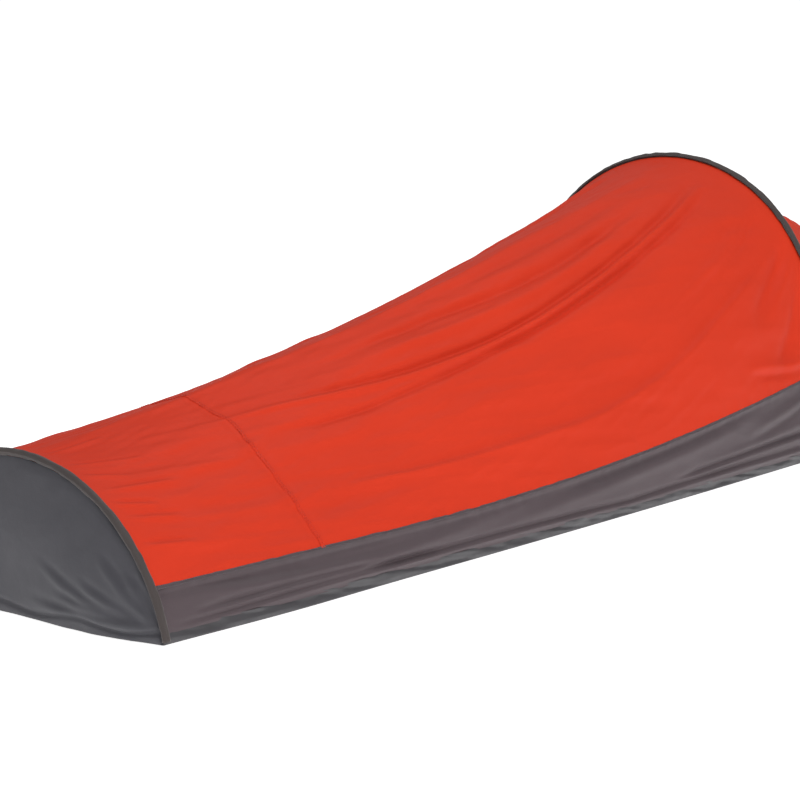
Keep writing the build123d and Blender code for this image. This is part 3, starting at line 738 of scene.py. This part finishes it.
def outer_reach(angles):
    out = np.zeros_like(angles)
    cu = border_u - DOOR_UP
    cv = border_v
    for k, t in enumerate(angles):
        d = np.array([math.cos(t), math.sin(t)])
        best = 0.0
        for i in range(len(cv) - 1):
            a = np.array([cv[i], cu[i]])
            e = np.array([cv[i + 1], cu[i + 1]]) - a
            det = d[0] * (-e[1]) + e[0] * d[1]
            if abs(det) < 1e-12:
                continue
            m = (a[0] * (-e[1]) + e[0] * a[1]) / det
            f = (d[0] * a[1] - d[1] * a[0]) / det
            if m > 0 and -1e-6 <= f <= 1 + 1e-6:
                best = max(best, m)
        out[k] = best
    return out


far_edge = outer_reach(angle)
inner_edge = door_edge(angle, DOOR_R)
far_edge = np.maximum(far_edge, inner_edge + 0.004)
shares = np.linspace(0, 1, int(30 * fine))[:, None]
reach = inner_edge[None, :] + (far_edge - inner_edge)[None, :] * shares
vv, uu = reach * np.cos(angle)[None, :], DOOR_UP + reach * np.sin(angle)[None, :]
gap = np.minimum(reach - inner_edge[None, :], far_edge[None, :] - reach)
lift = 0.0020 * lattice(vv, uu, 0.09, 0.06, 31) + 0.0014 * np.sin(angle * 13)[None, :] * np.exp(-gap / 0.03)
lift = lift * np.clip((gap - 0.015) / 0.02, 0, 1)
front_grid = front_point(vv, uu, lift)
front_cloth = sheet_from("front_cloth", front_grid, canopy_look, np.broadcast_to(OUT, front_grid.shape))
soft(front_cloth, "front_panel")

moving = door_edge(angle, DOOR_R - 0.0006)
shares = np.linspace(0.002, 1, int(60 * fine))[:, None]
reach = moving[None, :] * shares
vv, uu = reach * np.cos(angle)[None, :], DOOR_UP + reach * np.sin(angle)[None, :]
gap = moving[None, :] - reach
# the cloth stays flat under the zip's tape, which ends 14 mm in from the door's edge
off_tape = gap - 0.014
lift = 0.006 * np.clip(off_tape / 0.12, 0, 1) ** 0.8
lift = lift + 0.0026 * lattice(vv, uu, 0.13, 0.05, 33) * np.clip(off_tape / 0.03, 0, 1)
pulls = np.sin(angle * 17 + 0.6)[None, :] * np.exp(-gap / 0.03)
lift = lift + 0.0011 * pulls * np.clip(off_tape / 0.014, 0, 1)
DOOR_FOLDS = (
    ([(-0.17, 0.09), (-0.06, 0.16), (0.08, 0.2)], 0.0034),
    ([(0.17, 0.1), (0.09, 0.22), (-0.03, 0.3)], 0.003),
    ([(-0.13, 0.3), (0.0, 0.24), (0.12, 0.13)], 0.0026),
)
for line, tall in DOOR_FOLDS:
    lift = lift + fold(vv, uu, line, tall, 0.010, 1.5, 0.3)
door_grid = front_point(vv, uu, lift)
door_cloth = sheet_from("door_cloth", door_grid, canopy_look, np.broadcast_to(OUT, door_grid.shape))
soft(door_cloth, "door_flap", body="door")


# ---------------------------------------------------------------- zip
ZIP_START, ZIP_SWEEP = -50, 280
TAPE_LIFT, TEETH_LIFT, THREAD_LIFT = 0.0007, 0.0019, 0.0013
TOOTH = ((-0.0009, -0.0004), (-0.0009, 0.0004), (-0.0003, 0.00085),
         (0.0007, 0.00085), (0.001, 0.0002), (0.001, -0.0004))


def zip_angles(count):
    return np.radians(np.linspace(ZIP_START, ZIP_START + ZIP_SWEEP, count))


def zip_line(radius, t, lift):
    """Points on a circle round the door, lifted off the front."""
    return front_point(radius * np.cos(t), DOOR_UP + radius * np.sin(t), lift + 0 * t)


def zip_ribbon(name, inner, outer):
    pts = zip_line((inner + outer) / 2, zip_angles(int(260 * fine)), TAPE_LIFT)
    nrm = np.broadcast_to(OUT, pts.shape)
    seed = int(inner * 1000)
    return ribbon(name, pts, nrm, outer - inner, 0.0009, tape_look, lift=0.0, gather=0.00012, seed=seed)


def zip_teeth(name, radius, side, shift):
    points, faces = [], []
    pitch = 0.0016
    count = int(math.radians(ZIP_SWEEP) * radius / pitch)
    for k in range(count):
        t = math.radians(ZIP_START) + (k + shift) * pitch / radius
        rad = np.array([0, math.cos(t), 0]) + UP * math.sin(t)
        tan = np.array([0, -math.sin(t), 0]) + UP * math.cos(t)
        c = zip_line(radius, np.array(t), TEETH_LIFT)
        base = len(points)
        for along in (-0.00052, 0.00052):
            for out, high in TOOTH:
                points.append(c + rad * out * side + OUT * high + tan * along)
        for m in range(6):
            q = (m + 1) % 6
            faces.append((base + m, base + q, base + 6 + q, base + 6 + m))
        faces.append(tuple(base + m for m in (5, 4, 3, 2, 1, 0)))
        faces.append(tuple(base + 6 + m for m in range(6)))
    return piece_from(name, points, faces, coil_look, smooth=False)


# the fixed half of the zip is on the front, and the other half goes with the door
for word, body, inner, outer, teeth_radius, side, shift, stitch_radii in (
    ("fixed", "root", 0.2006, 0.2138, 0.2013, 1, 0.5, (0.2105, 0.2128)),
    ("door", "door", 0.1862, 0.1994, 0.1987, -1, 0.0, (0.1872, 0.1895)),
):
    name = "zip_" + word
    web = zip_ribbon(name + "_tape_web", inner, outer)
    soft(web, name + "_tape", body=body)
    teeth = zip_teeth(name + "_teeth", teeth_radius, side, shift)
    soft(teeth, name + "_coil", body=body)
    t = zip_angles(300)
    lines = [(zip_line(radius, t, THREAD_LIFT), np.broadcast_to(OUT, (300, 3))) for radius in stitch_radii]
    soft(stitches(name + "_stitches", lines, dark_thread), body=body)

# ---------------------------------------------------------------- side walls
# height, width and route: distance from the foot hoop and height above the ground
WALL_FOLDS = (
    (0.0026, 0.008, ((0.02, 0.055), (0.2, 0.040), (0.42, 0.036), (0.7, 0.05))),
    (0.0026, 0.010, ((0.6, 0.03), (0.9, 0.05), (1.2, 0.075), (1.5, 0.12))),
    (0.003, 0.009, ((1.64, 0.14), (1.5, 0.10), (1.32, 0.07))),
    (0.0022, 0.008, ((1.64, 0.08), (1.45, 0.06), (1.2, 0.045))),
    (0.003, 0.010, ((1.67, 0.13), (1.85, 0.08), (2.1, 0.05))),
)
# where a low crease starts and stops along the wall, and its heights there
FLOOR_EDGE_FOLDS = ((0.01, 0.55, 0.020, 0.027), (0.05, 0.42, 0.031, 0.034), (0.35, 1.05, 0.026, 0.022),
                    (0.9, 1.62, 0.020, 0.030), (1.1, 1.64, 0.034, 0.055))
for side, word in ((-1, "right"), (1, "left")):
    rows, columns = int(430 * fine), int(44 * fine)
    x = np.linspace(0.0, SPACING + REACH - 0.001, rows)[:, None] + np.zeros((1, columns))
    up = np.linspace(0, 1, columns)[None, :]
    top = seam_level(x)
    level = TURN_UP - 0.003 + (top - TURN_UP + 0.003) * up
    flat = side_point(x, level, side)
    outward = np.stack([0 * x, side + 0 * x, 0.2 + 0 * x], -1)
    n = normals_of(flat, outward)
    edge = np.minimum(level - TURN_UP + 0.003, top - level)
    rise = 0.0012 * lattice(x, level, 0.19, 0.03, 41 + side)
    rise = rise + 0.0007 * lattice(x, level + 0.3 * x, 0.07, 0.018, 43 + side)
    rise = rise - 0.0024 * np.exp(-(((up - 0.86) / 0.12) ** 2))
    for height, width, line in WALL_FOLDS:
        rise = rise + fold(x, level, line, height, width, 1.4, 0.3)
    for start, stop, low_at, high_at in FLOOR_EDGE_FOLDS:
        line = [(start, low_at), ((start + stop) / 2, (low_at + high_at) / 2 + 0.004), (stop, high_at)]
        rise = rise - fold(x, level, line, 0.0040, 0.0042, 0, 0.2)
        rise = rise + fold(x, level + 0.0065, line, 0.0030, 0.0045, 0, 0.2)
    rise = rise * np.clip(edge / 0.008, 0, 1)
    gathers = ripples(x, 0.014, 45) + 0.7 * ripples(x, 0.007, 46)
    rise = rise + 0.0009 * gathers * np.exp(-(top - level) / 0.012)
    near_hoop = np.clip(np.abs(x - SPACING) / 0.02, 0, 1)
    made = sheet_from("wall_cloth_" + word, flat + n * (rise * near_hoop)[..., None], wall_look, n)
    soft(made, "side_wall_" + word)

# ---------------------------------------------------------------- floor with its turned-up edge
rows, columns = int(300 * fine), int(180 * fine)
x = np.concatenate([np.linspace(0.0, SPACING + REACH, rows), [SPACING + REACH + 0.0003] * 6])[:, None]
lift_end = np.concatenate([np.zeros(rows), np.linspace(0.0012, TURN_UP, 6)])[:, None]
edge_rows = 10
c_edge = np.linspace(1, 0, edge_rows, endpoint=False)
across = np.concatenate([-np.ones(edge_rows), np.linspace(-1, 1, columns), np.ones(edge_rows)])[None, :]
raised = np.concatenate([c_edge * TURN_UP, np.zeros(columns), c_edge[::-1] * TURN_UP])[None, :]
level = np.maximum(raised + 0 * x, lift_end + 0 * raised)
outer = side_point(x + 0 * raised, raised + 0 * x, 1)[..., 1]
y = across * outer
crinkle = lattice(x, raised * 3 + x * 0.4, 0.07, 0.016, 51)
crinkle = 0.0022 * (crinkle + 0.5 * lattice(x, raised + x * 0.2, 0.02, 0.006, 52))
on_side = np.clip(np.abs(across) * 30 - 29, 0, 1) * np.clip((level) / 0.006, 0, 1)
y = y + np.sign(across) * crinkle * on_side
inside = (1 - np.abs(across)) > 0.02
z = 0.0008 + level + np.where(inside & (level < 0.002), 0.0007 + 0.0007 * lattice(x, y, 0.09, 0.07, 53), 0)
floor_grid = np.stack([FOOT_X + x + 0 * y, y, z], -1)
upward = np.broadcast_to([0.0, 0.0, 1.0], floor_grid.shape)
floor_cloth = sheet_from("floor_cloth", floor_grid, floor_look, upward)
soft(floor_cloth, "floor_sheet")

# ---------------------------------------------------------------- foot end panel
rings, columns = int(70 * fine), int(240 * fine)
around = np.linspace(0, 1, columns)[None, :]
r = np.linspace(0.0, 1, rings)[:, None]
half, tall, centre = arch_numbers(np.array(0.0), SKIN_IN)
ye, ze = arch(half, tall, centre, around)[:2]
# rows run from the ground line up to the hoop
base_y = ye[:, 0] + (ye[:, -1] - ye[:, 0]) * around
py = base_y + (ye - base_y) * r
pz = ze * r
bulge = 4 * around * (1 - around)
lean = np.clip(1 - r, 0, 1)
out = 0.013 * np.sin(np.pi * np.clip(r, 0, 1)) ** 0.8 * bulge**0.6
skew = np.exp(-(((py + 0.13) / 0.10) ** 2)) * 0.7 + np.exp(-(((py - 0.16) / 0.09) ** 2)) * 0.45
out = out + 0.021 * skew * lean**1.2 * np.clip((half - np.abs(py)) / 0.05, 0, 1)
rise = 0.0016 * lattice(py, pz, 0.08, 0.05, 61) + 0.0009 * lattice(py + pz * 0.6, pz, 0.03, 0.04, 62)
# creases run in from the two low corners; each has the place it reaches and how far it sags
CORNER_Y, CORNER_Z = 0.243, 0.014
END_FOLDS = ((0.02, 0.026, 0.2), (0.07, 0.042, 0.35), (0.12, 0.066, 0.45), (0.15, 0.105, 0.5),
             (0.19, 0.085, 0.6), (0.04, 0.085, 0.3))
for side in (-1, 1):
    for reach_y, reach_z, sag in END_FOLDS:
        middle = (side * (CORNER_Y + reach_y) / 2, CORNER_Z + (reach_z - CORNER_Z) * sag)
        line = [(side * CORNER_Y, CORNER_Z), middle, (side * reach_y, reach_z)]
        rise = rise + fold(py, pz, line, 0.0024, 0.0068, 1.4, 0.3)
rise = rise - 0.0040 * np.exp(-((pz - 0.013 - 0.004 * np.sin(py * 40)) / 0.0035) ** 2)
rise = rise * np.clip((1 - r) / 0.06, 0, 1)
gathers = ripples(around * 0.9, 0.013, 63)
rise = rise + 0.0007 * gathers * np.exp(-(1 - r) / 0.05) * np.clip((1 - r) / 0.01, 0, 1)
foot_grid = np.stack([FOOT_X - 0.001 - out - rise, py, pz + 0.0012], -1)
foot_cloth = sheet_from("foot_end_cloth", foot_grid, end_look, np.broadcast_to(-ALONG, foot_grid.shape))
soft(foot_cloth, "foot_end_panel")

# ---------------------------------------------------------------- head end wall
rows, columns = int(40 * fine), int(150 * fine)
level = np.linspace(TURN_UP - 0.002, END_WALL, rows)[:, None]
hw = end_half(level)
y = hw * np.linspace(-1, 1, columns)[None, :]
edge = np.minimum(hw - np.abs(y), np.minimum(level - TURN_UP + 0.002, END_WALL - level))
rise = 0.0022 * lattice(y, level, 0.06, 0.07, 71) + 0.0012 * lattice(y + level * 0.5, level, 0.025, 0.05, 72)
rise = rise * np.clip(edge / 0.015, 0, 1)
wall_grid = np.stack([END_X - 0.0005 + rise, y + 0 * level, level + 0 * y], -1)
head_wall = sheet_from("head_end_cloth", wall_grid, wall_look, np.broadcast_to(ALONG, wall_grid.shape))
soft(head_wall, "head_end_wall")


# ---------------------------------------------------------------- seams: felled ridges and stitching
def unit_rows(vectors):
    return vectors / np.linalg.norm(vectors, axis=1, keepdims=True)


def both_sides(pts, nrm, off, lift):
    """Two stitch lines along a seam, one on each side."""
    cross = np.cross(unit_rows(np.gradient(pts, axis=0)), nrm)
    return [(pts + cross * way + nrm * lift, nrm) for way in (-off, off)]


for word, at in (("right", 0), ("left", -1)):
    body_pts = np.concatenate([grid_foot[:-1, at], grid_main[:, at]])
    body_nrm = np.concatenate([n_foot[:-1, at], n_main[:, at]])
    on_body = (body_pts[:, 0] > FOOT_X + 0.006) & (body_pts[:, 0] < HEAD_X - 0.012)
    on_hood = grid_hood[:, at, 0] > HEAD_X + 0.012
    for part, p, n in (
        ("body", body_pts[on_body], body_nrm[on_body]),
        ("hood", grid_hood[on_hood, at], n_hood[on_hood, at]),
    ):
        name = "wall_seam_" + part + "_" + word
        strip = ribbon(name, p, n, 0.0055, 0.0010, wall_look, lift=0.0001, gather=0.0003, seed=81)
        soft(strip)
        lines = both_sides(p, n, 0.0017, 0.0007)
        thread = stitches("wall_seam_stitches_" + part + "_" + word, lines, grey_thread)
        soft(thread)

cross_pts, cross_nrm = grid_main[0], n_main[0]
for _ in range(6):
    middle = (cross_nrm[:-2] + 2 * cross_nrm[1:-1] + cross_nrm[2:]) / 4
    cross_nrm = np.concatenate([cross_nrm[:1], middle, cross_nrm[-1:]])
cross_nrm = unit_rows(cross_nrm)
ridge = ribbon("cross_seam_ridge", cross_pts, cross_nrm, 0.0065, 0.0008, canopy_look, 0.0001, 0.0002, 82)
soft(ridge)
cross_lines = both_sides(cross_pts, cross_nrm, 0.0020, 0.0006)
thread = stitches("cross_seam_stitches", cross_lines, red_thread, 0.0046, 0.0032, 0.0005)
soft(thread)
seal = ribbon("cross_seam_seal", cross_pts, cross_nrm, 0.014, 0.0006, binding_look, -0.0024, 0.0002, 83)
soft(seal, "cross_seam_tape")

# binding on the hood's edge round the front panel, and the seam along the end wall's top
edge_pts = hood_flat[-1][::2]
leaning = OUT * 0.7 + np.array([0, 0, 0.3])
edge_nrm = np.broadcast_to(leaning / np.linalg.norm(leaning), edge_pts.shape)
piping = ribbon("hood_edge_binding", edge_pts, edge_nrm, 0.008, 0.0026, binding_look, 0.0006, 0.0003, 84)
soft(piping)
hw_top = end_half(np.array(END_WALL))
top_y = np.linspace(-hw_top, hw_top, 120)
top_pts = np.stack([END_X + 0 * top_y, top_y, END_WALL + 0 * top_y], -1)
top_nrm = np.broadcast_to(np.array([0.94, 0, 0.34]), top_pts.shape)
top_seam = ribbon("end_wall_seam", top_pts, top_nrm, 0.009, 0.0018, wall_look, 0.0006, 0.0004, 85)
soft(top_seam)
top_lines = [(top_pts + np.array(off), top_nrm) for off in ((0.0014, 0, -0.0022), (0.001, 0, 0.003))]
soft(stitches("end_wall_stitches", top_lines, grey_thread))


# ---------------------------------------------------------------- hoop sleeves
CHANNEL_HALF, SLEEVE_THICK = 0.0056, 0.0049
FOOT_ARCH = (math.hypot(FOOT_HALF, FOOT_CENTRE), FOOT_TALL, FOOT_CENTRE)


def sleeve(name, x0, numbers, base, wide, body, seed, count):
    around = np.linspace(0, 1, 4001)
    y, z, ny, nz, run = arch(*numbers, around)
    keep = z >= base
    y, z, ny, nz = y[keep], z[keep], ny[keep], nz[keep]
    pick = np.linspace(0, len(y) - 1, int(count * fine)).astype(int)
    y, z, ny, nz = y[pick], z[pick], ny[pick], nz[pick]
    length = np.concatenate([[0], np.cumsum(np.hypot(np.diff(y), np.diff(z)))])
    pucker = ripples(length, 0.016, seed) * 0.6
    pucker = pucker + ripples(length, 0.007, seed + 1) * 0.4
    twist = ripples(length, 0.05, seed + 2)
    sides = 28
    points = []
    for k in range(len(y)):
        n = np.array([0, ny[k], nz[k]])
        fade = min(1.0, k / 4, (len(y) - 1 - k) / 4)
        for m in range(sides):
            t = 2 * math.pi * m / sides
            c, s = math.cos(t), math.sin(t)
            # a round channel over the pole with flat stitched margins either side
            across = wide / 2 * c
            body_share = min(1.0, abs(across) / CHANNEL_HALF)
            dome = math.sqrt(max(0.0, 1 - body_share**2))
            high = SLEEVE_THICK * (0.16 + 0.84 * dome) * math.copysign(min(1.0, abs(s) * 2.2), s)
            ripple = lattice(np.array([length[k]]), np.array([c * 0.01]), 0.011, 0.006, seed + 3)[0]
            edge = 1 + 0.05 * pucker[k] * abs(c) ** 4
            high = high * (1 + 0.07 * pucker[k]) + (0.0007 * ripple + 0.0005 * twist[k] * c) * fade
            points.append(np.array([x0, y[k], z[k]]) + ALONG * across * edge + n * high)
    faces = grid_faces(len(y), sides, closed=True) + end_caps(len(y), sides)
    made = piece_from(name, points, faces, sleeve_look)
    bind(made, body, body + "_sleeve")
    lines = []
    for off in (-1, 1):
        lift = SLEEVE_THICK * 0.22
        p = np.stack([x0 + off * wide * 0.42 + 0 * y, y + ny * lift, z + nz * lift], -1)
        lines.append((p[3:-3], np.stack([0 * y, ny, nz], -1)[3:-3]))
    bind(stitches(name + "_stitches", lines, dark_thread), body)


sleeve("head_sleeve_cloth", HEAD_X, (HEAD_HALF, HEAD_TALL, 0.0), 0.008, 0.020, "head_hoop", 91, 400)
sleeve("foot_sleeve_cloth", FOOT_X, FOOT_ARCH, 0.006, 0.012, "foot_hoop", 95, 220)

scene = bpy.context.scene

# ---------------------------------------------------------------- peg loops
loop_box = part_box("peg_loops")
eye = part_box("peg_eyelets")
eye_x = (eye[0][0] + eye[1][0]) / 2
low_z, high_z = loop_box[0][2], loop_box[1][2]
points, faces = [], []
for side in (-1, 1):
    centre = np.array([eye_x, side * LOOP_Y])
    x0, x1 = END_X, loop_box[1][0]
    outline = []
    for t in np.linspace(-math.pi, math.pi, 72, endpoint=False):
        d = np.array([math.cos(t), math.sin(t)])
        limits = []
        if d[0] > 1e-9:
            limits.append((x1 - centre[0]) / d[0])
        if d[0] < -1e-9:
            limits.append((x0 - centre[0]) / d[0])
        if abs(d[1]) > 1e-9:
            limits.append(LOOP_HALF / abs(d[1]))
        outline.append((d, min(limits)))
    base = len(points)
    rings = 9
    for layer, (za, zb) in enumerate(((low_z, 1), (high_z, -1))):
        for i in range(rings):
            for d, far in outline:
                q = i / (rings - 1)
                reach = EYE_R + (far - EYE_R) * q
                xy = centre + d * reach
                rib = 0.00012 * math.sin((xy[1] - side * LOOP_Y) * 2 * math.pi / 0.0022)
                tuck = 0.00035 * (q**6)
                points.append((xy[0], xy[1], za + zb * (0.0002 + tuck) + (rib if layer else -rib)))
    count = len(outline)
    lower = grid_faces(rings, count, closed=True, offset=base)
    upper = grid_faces(rings, count, closed=True, offset=base + rings * count)
    faces += lower + [f[::-1] for f in upper]
    for ring in (0, rings - 1):
        a = base + ring * count
        b = a + rings * count
        for k in range(count):
            m = (k + 1) % count
            faces.append((a + k, b + k, b + m, a + m) if ring == 0 else (a + m, b + m, b + k, a + k))
bind(piece_from("peg_loop_webbing", points, faces, webbing_look), "root", "peg_loops")
tack = []
tack_up = np.array([[0, 0, 1.0], [0, 0, 1.0]])
near_x, far_x, tack_half = END_X + 0.005, END_X + 0.014, 0.009
for side in (-1, 1):
    y, z = side * LOOP_Y, high_z + 0.0002
    for x in (near_x, far_x):
        tack.append((np.array([[x, y - tack_half, z], [x, y + tack_half, z]]), tack_up))
    for off in (-tack_half, tack_half):
        tack.append((np.array([[near_x, y + off, z], [far_x, y + off, z]]), tack_up))
bind(stitches("peg_loop_stitches", tack, grey_thread, 0.0022, 0.0016), "root")

# ---------------------------------------------------------------- zip slider, pull and stops
for node, body in (("zip_slider", "slider"), ("zip_pull", "pull"), ("zip_end_stops", "root")):
    shape = bpy.data.objects[node].data.copy()
    shape.materials.clear()
    shape.materials.append(zip_metal_look)
    metal = bpy.data.objects.new(node + "_cast", shape)
    scene.collection.objects.link(metal)
    soften = metal.modifiers.new("soft_edges", "BEVEL")
    soften.width = 0.00025
    soften.segments = 2
    soften.limit_method = "ANGLE"
    bpy.context.view_layer.update()
    cast = bpy.data.meshes.new_from_object(metal.evaluated_get(bpy.context.evaluated_depsgraph_get()))
    metal.modifiers.clear()
    metal.data = cast
    soft(metal, node, body=body)

for made in squashed:
    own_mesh(made)

# ---------------------------------------------------------------- floor, light, camera
bpy.ops.mesh.primitive_plane_add(size=60, location=(0, 0, -0.0006))
ground = bpy.context.object
ground.name = "studio_floor"
ground_look = bpy.data.materials.new("studio_floor")
ground_look.use_nodes = True
ground_inputs = ground_look.node_tree.nodes["Principled BSDF"].inputs
ground_inputs["Base Color"].default_value = (0.95, 0.95, 0.95, 1)
ground_inputs["Roughness"].default_value = 0.9
ground_inputs["Emission Color"].default_value = (1, 1, 1, 1)
ground_inputs["Emission Strength"].default_value = 0.85
ground.data.materials.append(ground_look)

world = bpy.data.worlds.new("studio")
scene.world = world
world.use_nodes = True
backdrop = world.node_tree.nodes["Background"]
backdrop.inputs["Color"].default_value = (1, 1, 1, 1)
seen = world.node_tree.nodes.new("ShaderNodeLightPath")
level_node = world.node_tree.nodes.new("ShaderNodeMapRange")
level_node.inputs["To Min"].default_value = 0.34
level_node.inputs["To Max"].default_value = 1.05
world.node_tree.links.new(seen.outputs["Is Camera Ray"], level_node.inputs["Value"])
world.node_tree.links.new(level_node.outputs[0], backdrop.inputs["Strength"])


def area_light(name, place, target, size, power):
    data = bpy.data.lights.new(name, "AREA")
    data.shape = "RECTANGLE"
    data.size, data.size_y = size
    data.energy = power
    lamp = bpy.data.objects.new(name, data)
    scene.collection.objects.link(lamp)
    lamp.location = place
    lamp.rotation_euler = (Vector(target) - Vector(place)).to_track_quat("-Z", "Y").to_euler()


area_light("overhead", (0.1, -0.4, 2.9), (0, 0, 0.1), (2.0, 1.4), 30)
area_light("near_side", (-1.9, -2.9, 1.7), (0, 0, 0.2), (1.6, 1.2), 42)
area_light("foot_side", (-3.2, 0.9, 1.4), (-0.4, 0, 0.1), (1.6, 1.4), 7)

scene.view_settings.view_transform = "Standard"
camera_data = bpy.data.cameras.new("camera")
camera_data.sensor_width = 36
camera_data.lens = 103.71
camera_data.clip_end = 60
camera = bpy.data.objects.new("camera", camera_data)
scene.collection.objects.link(camera)
target = np.array([FOOT_X + 0.8242, 0.0, 0.1689])
azimuth, elevation, distance = math.radians(-53.3259), math.radians(9.587), 3.5963
flat = math.cos(elevation)
away = np.array([math.sin(azimuth) * flat, -math.cos(azimuth) * flat, math.sin(elevation)])
camera.location = Vector(target + distance * away)
camera.rotation_euler = Vector(-away).to_track_quat("-Z", "Y").to_euler()
scene.camera = camera
